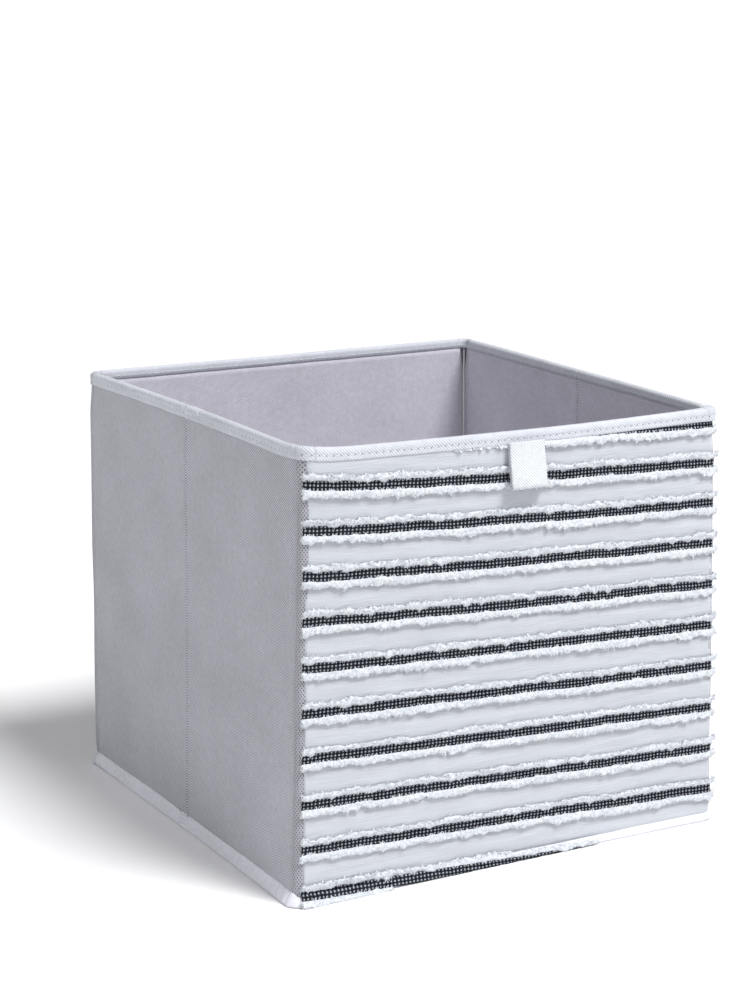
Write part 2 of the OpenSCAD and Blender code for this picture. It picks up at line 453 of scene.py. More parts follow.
embossGroup = makeEmbossGroup()
fibreGroup = makeFibreGroup()
weaveGroup = makeWeaveGroup()
needleGroup = makeNeedleGroup()
print("node groups made")


def startMaterial(name, roughness, sheen=0.0, specular=0.3):
    material = bpy.data.materials.new(name)
    material.use_nodes = True
    tree = material.node_tree
    tree.nodes.clear()
    w = Wires(tree)
    surface = w.node("ShaderNodeBsdfPrincipled")
    surface.inputs["Roughness"].default_value = roughness
    surface.inputs["Sheen Weight"].default_value = sheen
    surface.inputs["Sheen Roughness"].default_value = 0.6
    surface.inputs["Specular IOR Level"].default_value = specular
    end = w.node("ShaderNodeOutputMaterial")
    w.link(surface.outputs["BSDF"], end.inputs["Surface"])
    return material, w, surface


def placed(w, group, vector, **values):
    made = w.node("ShaderNodeGroup", node_tree=group)
    w.link(vector, made.inputs["Vector"])
    for label, number in values.items():
        made.inputs[label].default_value = number
    return made.outputs


def raise3(w, surface, heights):
    # heights: (socket, distance in metres), stacked into one normal
    normal = None
    for height, distance in heights:
        node = w.node("ShaderNodeBump")
        node.inputs["Strength"].default_value = 1.0
        node.inputs["Distance"].default_value = distance
        w.link(height, node.inputs["Height"])
        if normal:
            w.link(normal, node.inputs["Normal"])
        normal = node.outputs["Normal"]
    w.link(normal, surface.inputs["Normal"])


def cutMap(w):
    node = w.node("ShaderNodeUVMap", uv_map="cut")
    return node.outputs["UV"]


nonwovenLooks = {
    "WallCloth": {"tone": (0.60, 0.60, 0.67), "pit": 0.12, "pitch": 1.75, "across": 0.56, "second": 0.45,
                  "press": 0.10},
    # The front left strip is the wall cloth made darker, with near-black pits: painted shade of its deep
    # pressed lattice.
    "ShadedEdgeCloth": {"tone": (0.44, 0.44, 0.49), "pit": 0.04, "pitch": 2.7, "across": 0.9, "second": 0.95,
                  "press": 0.20},
    "LiningCloth": {"tone": (0.66, 0.648, 0.725), "pit": 0.52, "pitch": 1.9, "across": 0.8, "second": 0.45,
                    "press": 0.10},
    "RimCloth": {"tone": (0.655, 0.675, 0.735), "pit": 0.68, "pitch": 2.1, "across": 1.0, "second": 0.15,
                 "press": 0.08},
    "HemCloth": {"tone": (0.86, 0.865, 0.94), "pit": 0.70, "pitch": 1.8, "across": 0.7, "second": 0.5,
                 "press": 0.05},
    "TabCloth": {"tone": (0.73, 0.755, 0.80), "pit": 0.70, "pitch": 2.0, "across": 1.0, "second": 0.1,
                 "press": 0.08},
    "InsertCloth": {"tone": (0.66, 0.645, 0.72), "pit": 0.60, "pitch": 1.9, "across": 0.8, "second": 0.5,
                    "press": 0.10},
}


def makeNonwoven(name, tone, pit, pitch, across, second, press, holes=None):
    material, w, surface = startMaterial(name, 0.86, sheen=0.15, specular=0.25)
    vector = cutMap(w)
    lattice = placed(w, embossGroup, vector, Pitch=pitch * mm, Across=across, Second=second)
    fibres = placed(w, fibreGroup, vector)
    # painted shade in the pressed pits, down to pit times the tone at the deepest
    dark = tuple(c * pit for c in tone) + (1,)
    colour = w.mix(lattice["PitShade"], tone + (1,), dark)
    cloud = w.span(fibres["Clouds"], 0, 1, 0.93, 1.05)
    speck = w.span(fibres["Mottle"], 0, 1, 0.93, 1.07)
    shade = w.math("MULTIPLY", cloud, speck)
    grey = w.node("ShaderNodeCombineColor")
    for i in range(3):
        w.link(shade, grey.inputs[i])
    colour = w.mix(1.0, colour, grey.outputs[0], "MULTIPLY")
    if holes:
        holeShade = None
        for pitchOf, row, size in holes:
            made = placed(w, needleGroup, vector, Pitch=pitchOf, Row=row, Size=size)["Holes"]
            holeShade = made if holeShade is None else w.math("MAXIMUM", holeShade, made)
        # painted shade in the needle holes
        colour = w.mix(holeShade, colour, tuple(c * 0.38 for c in tone) + (1,))
    w.link(colour, surface.inputs["Base Color"])
    w.link(w.span(fibres["Hairs"], 0, 1, 0.78, 0.94), surface.inputs["Roughness"])
    raise3(w, surface, [(lattice["Height"], press * mm), (fibres["Hairs"], 0.03 * mm)])
    return material


rimStitch = {"pitch": 4.8 * mm, "row": 3.3 * mm, "length": 3.2 * mm, "thick": 0.4 * mm, "hole": 0.42 * mm}
materials = {}
for name, look in nonwovenLooks.items():
    holes = None
    if name == "RimCloth":
        holes = [(rimStitch["pitch"], rimStitch["row"], rimStitch["hole"])]
    materials[name] = makeNonwoven(name, holes=holes, **look)


def makeCotton():
    # Pale crinkled cotton of the front face.
    material, w, surface = startMaterial("FaceCotton", 0.9, sheen=0.2, specular=0.2)
    vector = cutMap(w)
    weave = placed(w, weaveGroup, vector, Pitch=0.55 * mm)
    fibres = placed(w, fibreGroup, vector)
    base = w.mix(w.span(weave["Slubs"], 0, 1, 0, 0.35), (0.56, 0.583, 0.632, 1), (0.64, 0.66, 0.70, 1))
    colour = w.mix(w.span(fibres["Clouds"], 0, 1, 0, 0.25), base, (0.52, 0.54, 0.585, 1))
    w.link(colour, surface.inputs["Base Color"])
    raise3(w, surface, [(weave["Height"], 0.06 * mm), (weave["Slubs"], 0.12 * mm)])
    return material


def makeCheck():
    # Woven check: near-black where both threads are dark, light where both are pale.
    material, w, surface = startMaterial("CheckRibbon", 0.95, specular=0.05)
    vector = cutMap(w)
    parts = w.node("ShaderNodeSeparateXYZ")
    w.link(vector, parts.inputs[0])
    wander = w.noise(vector, 180, 2, 0.6)
    drift = w.math("MULTIPLY_ADD", wander, 0.0008, -0.0004)
    pale = []
    for axis, share, period, shift in ((0, 0.36, 2.6 * mm, 0), (1, 0.46, 2.1 * mm, 1.05 * mm)):
        along = w.math("ADD", w.math("ADD", parts.outputs[axis], drift), shift)
        place = w.math("DIVIDE", along, period)
        pale.append(w.span(w.math("ABSOLUTE", w.math("SUBTRACT", w.math("FRACT", place), 0.5)),
                           0.5 * share - 0.05, 0.5 * share + 0.05, 1.0, 0.0))
    both = w.math("MULTIPLY", pale[0], pale[1])
    either = w.math("MAXIMUM", pale[0], pale[1])
    colour = w.mix(w.math("MULTIPLY", either, 0.06), (0.003, 0.0035, 0.006, 1), (0.35, 0.38, 0.46, 1))
    colour = w.mix(both, colour, (0.42, 0.45, 0.52, 1))
    weave = placed(w, weaveGroup, vector, Pitch=0.6 * mm)
    colour = w.mix(w.span(weave["Slubs"], 0, 1, 0, 0.04), colour, (0.5, 0.52, 0.56, 1))
    w.link(colour, surface.inputs["Base Color"])
    raise3(w, surface, [(weave["Height"], 0.12 * mm), (both, 0.1 * mm)])
    return material


def makeFringeCotton():
    # Frayed cotton: white with painted shade greying the roots and among the clumps, and fine lengthwise
    # fibres.
    material, w, surface = startMaterial("FringeCotton", 0.95, sheen=0.1, specular=0.1)
    vector = cutMap(w)
    parts = w.node("ShaderNodeSeparateXYZ")
    w.link(vector, parts.inputs[0])
    place = w.node("ShaderNodeTexCoord")
    clumps = w.noise(place.outputs["Object"], 620, 3, 0.7)
    root = w.span(parts.outputs[1], 0.0, 1.0, 0.35, 0.0)
    # painted shade: greyer towards the roots of the locks and the band's inner edge
    colour = w.mix(root, (0.76, 0.785, 0.82, 1), (0.62, 0.65, 0.70, 1))
    # painted shade: grey patches among the clumps
    colour = w.mix(w.span(clumps, 0.40, 0.62, 0.0, 0.75), colour, (0.44, 0.47, 0.53, 1))
    w.link(colour, surface.inputs["Base Color"])
    fine = w.noise(place.outputs["Object"], 2600, 2, 0.6)
    raise3(w, surface, [(fine, 0.2 * mm), (clumps, 0.5 * mm)])
    return material


def makeThread(name, tone, dark):
    # Twisted sewing thread.
    material, w, surface = startMaterial(name, 0.7, sheen=0.1, specular=0.35)
    place = w.node("ShaderNodeTexCoord")
    twist = w.noise(place.outputs["Object"], 2400, 1, 0.5)
    w.link(w.mix(twist, tone + (1,), dark + (1,)), surface.inputs["Base Color"])
    raise3(w, surface, [(twist, 0.08 * mm)])
    return material


def makeChipboard():
    # Grey-brown recycled chipboard with flecks.
    material, w, surface = startMaterial("Chipboard", 0.95, specular=0.15)
    place = w.node("ShaderNodeTexCoord")
    flecks = w.noise(place.outputs["Object"], 700, 3, 0.7)
    clouds = w.noise(place.outputs["Object"], 30, 2, 0.5)
    colour = w.mix(w.span(flecks, 0.42, 0.62), (0.36, 0.28, 0.19, 1), (0.26, 0.20, 0.135, 1))
    colour = w.mix(w.span(clouds, 0.3, 0.7, 0, 0.35), colour, (0.40, 0.325, 0.235, 1))
    w.link(colour, surface.inputs["Base Color"])
    raise3(w, surface, [(flecks, 0.08 * mm)])
    return material


materials["FaceCotton"] = makeCotton()
materials["CheckRibbon"] = makeCheck()
materials["FringeCotton"] = makeFringeCotton()
materials["RimThread"] = makeThread("RimThread", (0.80, 0.82, 0.88), (0.64, 0.66, 0.72))
materials["CreaseThread"] = makeThread("CreaseThread", (0.07, 0.07, 0.08), (0.04, 0.04, 0.05))
materials["SeamRidge"] = makeThread("SeamRidge", (0.86, 0.83, 0.82), (0.70, 0.67, 0.68))
materials["Chipboard"] = makeChipboard()
print("materials made:", len(materials))


def dress(piece, material):
    piece.data.materials.clear()
    piece.data.materials.append(materials[material])


rimLook = {
    "cap": 2.6 * mm,
    "outerLeg": 8.2 * mm,
    "innerLeg": 6.8 * mm,
    "tape": 0.7 * mm,
    "bulge": 0.18 * mm,
    "pinch": 0.22 * mm,
    "wave": 0.30 * mm,
    "lapFrom": 2.6 * mm,
    "lapTo": 17.6 * mm,
    "lapThick": 0.5 * mm,
}
rimShoulder = binTop - rimLook["cap"]
rimOut = rimLook["outerLeg"] - rimLook["cap"]
rimIn = rimLook["innerLeg"] - rimLook["cap"]
rimOver = math.pi * math.sqrt(((wallThick / 2) ** 2 + rimLook["cap"] ** 2) / 2)
rimGirth = rimOut + rimOver + rimIn


def rimShape(name, s, q):
    row = rimStitch["row"]
    edgeWave = rimLook["wave"] * lumps(s * 45, 0, 3.1)
    topWave = 0.35 * mm * lumps(s * 11, 0, 7.7)
    pucker = 0.14 * mm * math.sin(2 * math.pi * s / rimStitch["pitch"])
    if q < rimOut:
        up = q / rimOut
        inset = -rimLook["bulge"] * math.sin(math.pi * min(1, max(0, (q - row) / (rimOut - row))))
        inset += (rimLook["pinch"] + pucker) * bump(q, row, 1.2 * mm)
        inset += 0.15 * mm * (1 - ease(q, 0, 1.6 * mm))
        z = rimShoulder - rimOut + q + edgeWave * (1 - up) + topWave * up
    elif q < rimOut + rimOver:
        turn = (q - rimOut) / rimOver * math.pi
        inset = wallThick / 2 * (1 - math.cos(turn))
        z = rimShoulder + rimLook["cap"] * math.sin(turn) + topWave
    else:
        down = q - rimOut - rimOver
        up = 1 - down / rimIn
        inset = wallThick + 0.1 * mm * math.sin(math.pi * up) - 0.55 * mm * (1 - ease(up, 0, 0.45))
        z = rimShoulder - down + edgeWave * (1 - up) + topWave * up
    outward = -1 if q < rimGirth / 2 else 1
    if name == "left":
        past = s - crease(name)
        lap = ease(past, rimLook["lapFrom"] - 0.3 * mm, rimLook["lapFrom"] + 0.3 * mm)
        lap *= 1 - ease(past, rimLook["lapTo"] - 0.3 * mm, rimLook["lapTo"] + 0.3 * mm)
        inset += rimLook["lapThick"] * lap * outward
    if name in ("front_right", "right", "front"):
        inset += 2.0 * mm * bump(s - sum(spans["front_right"]) / 2, 0, 11 * mm) * outward
    if name in ("left", "right"):
        inset -= 0.45 * mm * bump(s - crease(name) - seamSide(name), 0, 1.2 * mm) * outward
    return inset, z


def makeRim(name):
    long = name in ("left", "right")
    count = 160 if long else (130 if name in ("back", "front") else 14)

    def place(s, q):
        inset, z = rimShape(name, s, q)
        return at(name, s, inset, z)

    piece = clothGrid("rim_tape_" + name, (count, 28), place, spans[name], (0, rimGirth),
                      thick=rimLook["tape"], squeeze=squeezeToCrease if long else None)
    dress(piece, "RimCloth")
    attach(piece, name)
    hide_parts(*rimNodes[name])


def makeRimThread(name):
    # Dashes that dip into the tape between the needle holes, outside and inside.
    low, high = spans[name]
    pitch = rimStitch["pitch"]
    spots = []
    for k in range(math.ceil(low / pitch), int(high / pitch) + 1):
        s = k * pitch
        out, along = facing(name, s)
        for q, away in ((rimStitch["row"], out), (rimGirth - rimStitch["row"] + 1 * mm, -out)):
            inset, z = rimShape(name, s, q)
            spots.append((at(name, s, inset, z) + away * 0.02 * mm, along, away))
    if name == "left":
        for past in (rimLook["lapFrom"], rimLook["lapTo"]):
            s = crease(name) + past
            out, along = facing(name, s)
            for step in range(4):
                inset, z = rimShape(name, s, 0.9 * mm + step * 1.5 * mm)
                spots.append((at(name, s, inset, z) + out * 0.1 * mm, Vector((0, 0, 1)), out))
    piece = stitches("rim_thread_" + name, spots, rimStitch["length"], rimStitch["thick"])
    dress(piece, "RimThread")
    attach(piece, name)
    if name in threadNodes:
        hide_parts(*threadNodes[name])


for name in sections:
    makeRim(name)
    makeRimThread(name)
print("rim tape sewn on")


# Outer cloth of the walls.
wallLook = {
    "billow": 0.5 * mm,
    "dip": 1.2 * mm,
    "ridge": 0.9 * mm,
    "tuck": 2.6 * mm,
    "stripFront": 0.9 * mm,
}
clothBottom = hemTop - wallLook["tuck"]
clothTop = rimEdge + wallLook["tuck"]
wallHeight = clothTop - clothBottom


def edgesFlat(z):
    # 1 in the middle of the wall, 0 where the rim and the hem hold it
    return ease(z, hemTop, hemTop + 25 * mm) * (1 - ease(z, rimEdge - 20 * mm, rimEdge))


def creaseShape(past, z):
    # pulled in at the stitches, with a soft ridge on the other side
    waver = 0.25 * mm * lumps(z * 90, 0, 5.5)
    return (wallLook["dip"] * bump(past + waver, 0, 0.9 * mm)
            - wallLook["ridge"] * bump(past + waver, 1.9 * mm, 0.8 * mm))


def outerShape(name, s, z):
    inset = clothInset - wallLook["billow"] * (0.35 + lumps(s * 13, z * 13, 1.7, 2)) * edgesFlat(z)
    inset += 0.25 * mm * ease(z, rimEdge - 2 * mm, rimEdge)
    if name == "left":
        inset += creaseShape(s - crease(name) - seamSide(name), z)
    if name == "right":
        inset += creaseShape(-(s - crease(name) - seamSide(name)), z)
    return inset


def makeOuter(name, nodes, counts, material, before=0.0, after=0.0, squeeze=None):
    low, high = spans[name]

    def place(s, z):
        return at(name, s, outerShape(name, s, z) + (0.05 * mm if "_" in name else 0), z)

    piece = clothGrid(name + "_wall_cloth", counts, place, (low - before, high + after),
                      (clothBottom, clothTop), thick=clothThick, squeeze=squeeze)
    dress(piece, material)
    attach(piece, name)
    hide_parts(*nodes)
    return piece


leftCloth = makeOuter("left", ["left_rear_outer", "left_front_outer"], (110, 70), "WallCloth",
                      squeeze=squeezeToCrease)
rightCloth = makeOuter("right", ["right_rear_outer", "right_front_outer"], (110, 70), "WallCloth",
                       squeeze=squeezeToCrease)
backCloth = makeOuter("back", ["back_outer"], (90, 70), "WallCloth")
makeOuter("back_left", ["back_left_strip"], (12, 60), "WallCloth", before=1 * mm, after=1 * mm)
makeOuter("back_right", ["back_right_strip"], (12, 60), "WallCloth", before=1 * mm, after=1 * mm)
makeOuter("front_left", ["front_left_strip"], (18, 60), "ShadedEdgeCloth", after=wallLook["stripFront"])
makeOuter("front_right", ["front_right_strip"], (12, 60), "WallCloth", after=1 * mm)
print("outer cloth stretched")


# Boards of the walls, settled like the cloth over them. The end and crease values are the shares of
# a side that a board stops short of the corner and of the middle.
boardLook = {"thick": 1.8 * mm, "end": 0.01, "crease": 0.012}


def makeBoard(name, side, share):
    low, high = spans[side]
    ends = (low + (high - low) * share[0], low + (high - low) * share[1])

    def place(s, z):
        return at(side, s, clothInset + clothThick + 0.1 * mm, z)

    piece = clothGrid(name + "_sheet", (30, 30), place, ends, (hemTop + 0.5 * mm, rimEdge + 1 * mm),
                      thick=boardLook["thick"])
    dress(piece, "Chipboard")
    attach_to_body(piece, name.replace("_board", "") + ("_wall" if side in ("back", "front") else ""))
    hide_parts(name)


makeBoard("back_board", "back", (boardLook["end"], 1 - boardLook["end"]))
makeBoard("front_board", "front", (boardLook["end"], 1 - boardLook["end"]))
for side, first, last in (("left", "rear", "front"), ("right", "front", "rear")):
    makeBoard(side + "_" + first + "_board", side, (boardLook["end"], 0.5 - boardLook["crease"]))
    makeBoard(side + "_" + last + "_board", side, (0.5 + boardLook["crease"], 1 - boardLook["end"]))


hemLook = {
    "splay": {"left": 3.0 * mm, "right": 2.4 * mm, "back": 2.4 * mm, "front": 1.9 * mm},
    "top": {"left": hemTop, "right": hemTop, "back": hemTop, "front": 5.6 * mm},
    "girth": 26 * mm,
    "tape": 0.7 * mm,
    "wave": 0.45 * mm,
    "wrinkle": 1.5 * mm,
}


def hemValue(key, name, s):
    values = hemLook[key]
    if name in values:
        return values[name]
    index = sections.index(name)
    low, high = spans[name]
    before, after = values[sections[index - 1]], values[sections[(index + 1) % 8]]
    return before + (after - before) * ease(s, low, high)


def hemProfile(top, splay):
    # inset and height along the tape, from inside, under the edge, and up the outside
    return [(wallThick + 0.3 * mm, 5.0 * mm), (wallThick + 0.2 * mm, 1.4 * mm),
            (wallThick - 0.8 * mm, 0.4 * mm), (2 * mm, 0.25 * mm), (0.6 * mm - splay, 0.35 * mm),
            (-splay, 1.3 * mm), (-splay * 0.85, 2.4 * mm), (0.1 * mm, top - 0.9 * mm), (1.0 * mm, top)]


def alongProfile(points, share):
    lengths = [math.dist(a, b) for a, b in zip(points, points[1:])]
    left = share * sum(lengths)
    for (a, b), length in zip(zip(points, points[1:]), lengths):
        if left <= length:
            t = left / length
            return a[0] + (b[0] - a[0]) * t, a[1] + (b[1] - a[1]) * t
        left -= length
    return points[-1]


def hemPlace(name, s, share):
    profile = hemProfile(hemValue("top", name, s), hemValue("splay", name, s))
    inset, z = alongProfile(profile, share)
    outer = ease(share, 0.45, 0.62)
    inset -= hemLook["wave"] * lumps(s * 28, z * 60, 2.2) * outer
    z += 0.2 * mm * lumps(s * 60, 0, 9.4) * ease(share, 0.8, 1.0)
    if name == "left":
        z += 1.8 * mm * (1 - ease(s - spans[name][0], 0, 70 * mm)) * outer * (1 - ease(share, 0.7, 1.0))
    if name in ("left", "right"):
        past = s - crease(name) - seamSide(name)
        lean = past + (z - 5 * mm) * 0.7
        folds = bump(lean, -3.5 * mm, 0.8 * mm) + 0.9 * bump(lean, 1.5 * mm, 0.7 * mm)
        folds -= 0.8 * bump(lean, -0.9 * mm, 0.7 * mm) + 0.5 * bump(lean, -9 * mm, 3 * mm)
        inset -= hemLook["wrinkle"] * folds * outer
    return at(name, s, inset, max(z, 0.05 * mm))


def makeHem(name):
    long = name in ("left", "right")
    count = 170 if long else (110 if name in ("back", "front") else 14)

    def place(s, q):
        return hemPlace(name, s, q / hemLook["girth"])

    piece = clothGrid("hem_tape_" + name, (count, 40), place, spans[name], (0, hemLook["girth"]),
                      thick=hemLook["tape"], squeeze=squeezeToCrease if long else None)
    dress(piece, "HemCloth")
    attach(piece, name)
    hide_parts("hem_tape", "hem_core", "hem_stitches")


for name in sections:
    makeHem(name)


bottomLook = {"thick": 0.5 * mm, "tuck": 1 * mm, "sag": 0.25 * mm, "below": 0.1 * mm}


def makeBottom():
    # Cloth under the bin, with a slight sag; it rides on the back wall's body.
    def place(x, y):
        sag = bottomLook["sag"] * lumps(x * 20, y * 20, 4.4, 2)
        return settled(Vector((x, y, bottomHigh.z - bottomLook["below"] + sag)))

    tuck = bottomLook["tuck"]
    piece = clothGrid("bottom_cloth_sheet", (60, 60), place, (bottomLow.x - tuck, bottomHigh.x + tuck),
                      (bottomLow.y - tuck, bottomHigh.y + tuck), thick=bottomLook["thick"])
    dress(piece, "WallCloth")
    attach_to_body(piece, "back_wall")
    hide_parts("bottom_cloth")
    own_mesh(piece)


makeBottom()
print("hem and bottom made")


# Lining, clear of the insert's edge at the bottom.
insertReach = insertHigh.x + 0.9 * mm


def liningShape(name, s, z):
    inset = liningInset + 0.35 * mm * (0.3 + lumps(s * 15, z * 15, 6.3, 2)) * edgesFlat(z)
    if name in ("left", "right"):
        side = 1 if name == "left" else -1
        inset -= 0.8 * creaseShape(side * (s - crease(name) - seamSide(name)), z)
    return inset


def liningAt(name, s, z):
    spot = at(name, s, liningShape(name, s, z), z)
    if z < insertHigh.z + 8 * mm:
        out = facing(name, s)[0]
        short = insertReach - spot.dot(out)
        if short > 0:
            spot += out * short
    return spot


def makeLining(name, nodes, counts, squeeze=None):
    low, high = spans[name]
    reach = cornerLook["wall"] - liningInset

    def place(s, z):
        return liningAt(name, s, z)

    piece = clothGrid(name + "_lining_cloth", counts, place, (low - reach, high + reach),
                      (clothBottom, clothTop), faceIn=True, thick=0.6 * mm, squeeze=squeeze)
    dress(piece, "LiningCloth")
    attach(piece, name)
    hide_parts(*nodes)


makeLining("left", ["left_rear_lining", "left_front_lining"], (110, 60), squeezeToCrease)
makeLining("right", ["right_rear_lining", "right_front_lining"], (110, 60), squeezeToCrease)
makeLining("back", ["back_lining"], (90, 60))
makeLining("front", ["front_lining"], (90, 60))


ridgeLook = {"radius": 0.7 * mm, "clear": 0.4 * mm, "rings": 45, "swell": 0.25, "stray": 0.2 * mm}


def makeSeamRidge(a, b, body):
    # Bound seam allowance that stands up the inner corner.
    reach = liningInset + ridgeLook["clear"]
    bm = bmesh.new()
    bmesh.ops.create_cone(bm, cap_ends=True, segments=8, radius1=ridgeLook["radius"],
                          radius2=ridgeLook["radius"], depth=wallHeight)
    bmesh.ops.translate(bm, verts=bm.verts, vec=(0, 0, (clothTop + clothBottom) / 2))
    for i in range(1, ridgeLook["rings"]):
        height = clothBottom + wallHeight * i / ridgeLook["rings"]
        bmesh.ops.bisect_plane(bm, geom=bm.verts[:] + bm.edges[:] + bm.faces[:],
                               plane_co=(0, 0, height), plane_no=(0, 0, 1))
    for point in bm.verts:
        swell = 1 + ridgeLook["swell"] * lumps(point.co.z * 140, a * 9, 8.1)
        stray = ridgeLook["stray"] * lumps(point.co.z * 30, b * 7, 2.6)
        x = a * (halfWidth - reach) + point.co.x * swell + stray
        y = b * (halfDepth - reach) + point.co.y * swell
        point.co = settled(Vector((x, y, point.co.z)))
    piece = finishMesh(bm, "seam_ridge_%s_%s" % ("front" if b < 0 else "back", "left" if a < 0 else "right"))
    dress(piece, "SeamRidge")
    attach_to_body(piece, body)


for a in (-1, 1):
    makeSeamRidge(a, 1, "back_wall")
    makeSeamRidge(a, -1, "front_wall")
print("lining made")


creaseStitch = {"pitch": 2.3 * mm, "length": 1.35 * mm, "thick": 1.0 * mm}


def makeCreaseThread(name):
    s = crease(name) + seamSide(name)
    out = facing(name, s)[0]
    spots = []
    for k in range(int((rimEdge - hemTop - 2 * mm) / creaseStitch["pitch"])):
        z = hemTop + 2 * mm + k * creaseStitch["pitch"]
        spots.append((at(name, s, outerShape(name, s, z), z), Vector((0, 0, 1)), out))
        spots.append((liningAt(name, s, z), Vector((0, 0, 1)), -out))
    piece = stitches(name + "_crease_thread", spots, creaseStitch["length"], creaseStitch["thick"])
    dress(piece, "CreaseThread")
    attach(piece, name)
    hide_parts(name + "_crease_stitches")


makeCreaseThread("left")
makeCreaseThread("right")
print("creases stitched")


faceLook = {
    "ripple": 0.42 * mm,
    "low": 4.4 * mm,
    "turnIn": 1.0 * mm,
    "left": -halfWidth + 3.2 * mm,
    "right": halfWidth - 1.6 * mm,
    "lean": 3.0 * mm,
}


def arcBack(x, z):
    # how far the round edge has turned away from the front at x
    radius = cornerRadius(z)
    past = min(max(0.0, abs(x) - (halfWidth - radius)), radius * 0.98)
    return radius - math.sqrt(radius ** 2 - past ** 2)


def hemOut(x, z):
    # how far the front hem stands out of the box's front plane
    top = hemLook["top"]["front"]
    if z > top + 1 * mm:
        return -1.0
    splay = hemLook["splay"]["front"]
    return splay * min(1, max(0, (top + 1 * mm - z) / top)) + 0.45 * mm


def faceOut(x, z):
    # how far the cotton stands out of the box's front plane
    held = ease(x, faceLook["left"], faceLook["left"] + 1.2 * mm)
    held *= 1 - ease(x, faceLook["right"] - 0.8 * mm, faceLook["right"])
    held *= ease(z, faceLook["low"], faceLook["low"] + 1.2 * mm)
    ripple = lumps(x * 17, z * 130, 3.3, 2) + 0.6 * lumps(x * 40, z * 260, 5.1)
    broad = 0.3 * mm * lumps(x * 9, z * 9, 2.9)
    lift = (faceLook["ripple"] * ripple + broad) * (1 - ease(z, rimEdge - 4 * mm, rimEdge))
    return lift - clothInset + 0.25 * mm - faceLook["turnIn"] * (1 - held)


def leaned(x, z):
    # the left edge runs in a little towards the floor
    share = (faceLook["right"] - x) / (faceLook["right"] - faceLook["left"])
    return x + faceLook["lean"] * min(1.1, share) * (1 - z / binTop)


def facePlace(x, z):
    x = leaned(x, z)
    return settled(Vector((x, -halfDepth - faceOut(x, z) + arcBack(x, z), z)))


faceCloth = clothGrid("front_face_cotton", (150, 170), facePlace, (faceLook["left"], faceLook["right"]),
                      (faceLook["low"], clothTop), thick=0.6 * mm)
dress(faceCloth, "FaceCotton")
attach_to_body(faceCloth, "front_wall")
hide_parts("front_face")

ribbonLook = {
    "height": 6.4 * mm,
    "pitch": 27.8 * mm,
    "drop": 22.0 * mm,
    "slant": math.radians(2.6),
    "thick": 0.4 * mm,
    "stand": 0.45 * mm,
    "left": faceLook["left"] - 1.5 * mm,
    "right": halfWidth - 2.2 * mm,
    "crowd": 2.0 * mm,
    "drift": 1.8 * mm,
    "tucked": 2.1 * mm,
}
ribbonWay = Vector((math.cos(ribbonLook["slant"]), 0, -math.sin(ribbonLook["slant"])))
ribbonUp = Vector((math.sin(ribbonLook["slant"]), 0, math.cos(ribbonLook["slant"])))
ribbonLength = (ribbonLook["right"] - ribbonLook["left"]) / math.cos(ribbonLook["slant"])


def ribbonStart(k):
    # the bands are sewn a little closer together near the top
    z = binTop - ribbonLook["drop"] - k * ribbonLook["pitch"]
    z -= ribbonLook["tucked"] if k < 0 else 0
    z += ribbonLook["crowd"] * math.sin(math.pi * min(1, max(0, k / 9)))
    z += ribbonLook["drift"] * ease(k, -1, 2.5)
    z -= (ribbonLook["left"] + halfWidth) * math.tan(ribbonLook["slant"])
    return Vector((ribbonLook["left"], 0, z))


def onFace(k, s, q, stand, low=0.6 * mm):
    # a place on band k: s along it, q across it, standing off the cotton
    waver = 0.55 * mm * lumps(s * 30, k * 5.3, 4.8) + 0.2 * mm * lumps(s * 120, k * 3.1, 2.2)
    spot = ribbonStart(k) + ribbonWay * s + ribbonUp * (q + waver)
    spot.z = min(max(spot.z, low), rimEdge + 1.2 * mm)
    stand *= 1 - ease(spot.z, rimEdge - 1.5 * mm, rimEdge + 0.5 * mm)
    x = min(max(spot.x, faceLook["left"] + 1.3 * mm), faceLook["right"] - 1 * mm)
    out = max(faceOut(x, spot.z), hemOut(spot.x, spot.z)) + stand
    spot.x = leaned(spot.x, spot.z)
    return settled(Vector((spot.x, -halfDepth - out + arcBack(spot.x, spot.z), spot.z)))


def ribbonRange(k):
    # where the band lies between the rim tape and the floor
    drop = math.sin(ribbonLook["slant"])
    z = ribbonStart(k).z
    half = ribbonLook["height"] / 2
    low = max(0.0, (z - half - rimEdge) / drop)
    high = min(ribbonLength, (z + half * 0.6) / drop)
    return low, high


def makeRibbon(k, low, high):
    half = ribbonLook["height"] / 2

    def place(s, q):
        return onFace(k, s, q, ribbonLook["stand"] + 0.15 * mm * lumps(s * 200, q * 500, k + 0.5))

    piece = clothGrid("check_ribbon_%02d" % (k + 1), (max(8, int((high - low) / (2 * mm))), 6), place,
                      (low, high), (-half, half), thick=ribbonLook["thick"])
    dress(piece, "CheckRibbon")
    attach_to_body(piece, "front_wall")
    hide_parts("check_ribbons")


fringeLook = {
    "over": 3.9 * mm,
    "under": 4.7 * mm,
    "column": 0.45 * mm,
    "bulge": 1.2 * mm,
    "lockStep": 0.6 * mm,
    "lockWidth": 0.95 * mm,
    "curl": 1.2 * mm,
}


def fringeEdge(k, side, s, inner):
    # ragged inner and outer edges of the frayed band, measured from the ribbon's middle
    half = ribbonLook["height"] / 2
    seed = k * 3.7 + side * 1.3
    teeth = lumps(s * 1000, seed, 1.9)
    if inner:
        rag = (2.2 if side > 0 else 0.9) * max(0, lumps(s * 130, seed, 5.2, 2)) + 0.5 * teeth
        return half - (0.15 + rag) * mm
    reach = fringeLook["over"] if side > 0 else fringeLook["under"]
    clump = lumps(s * 240, seed, 6.6, 2)
    broad = lumps(s * 42, seed, 8.1)
    return half + reach * (0.88 + 0.34 * clump + 0.26 * broad + 0.18 * teeth)


def fringeSpot(k, side, s, b, stand):
    inner, outer = fringeEdge(k, side, s, True), fringeEdge(k, side, s, False)
    lean = 0.7 * mm * b * lumps(s * 300, side * 2 + k, 4.4)
    return onFace(k, s + lean, side * (inner + (outer - inner) * b), stand, low=0.15 * mm)


